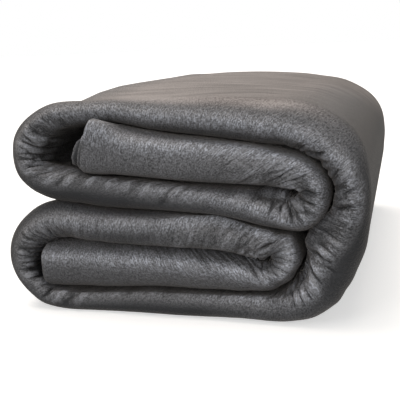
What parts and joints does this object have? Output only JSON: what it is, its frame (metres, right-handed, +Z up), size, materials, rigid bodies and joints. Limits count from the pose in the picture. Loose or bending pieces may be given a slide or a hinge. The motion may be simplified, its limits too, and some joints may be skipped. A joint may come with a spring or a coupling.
{
  "type": "folded welding blanket",
  "caption": "Charcoal felt welding blanket, folded lengthwise into a thick soft strip and then crosswise into a loose stack that rests flat.",
  "frame": {"origin": "centre of the footprint, on the surface that the folded blanket rests on", "axes": "+Z up; -Y is the front, where the lengthwise folds show; +X is the side of the spine"},
  "size_m": [0.3328, 0.406, 0.1943],
  "materials": {
    "felt": "matt needle-punched felt"
  },
  "bodies": {
    "root": {"blanket": "felt"}
  },
  "joints": []
}
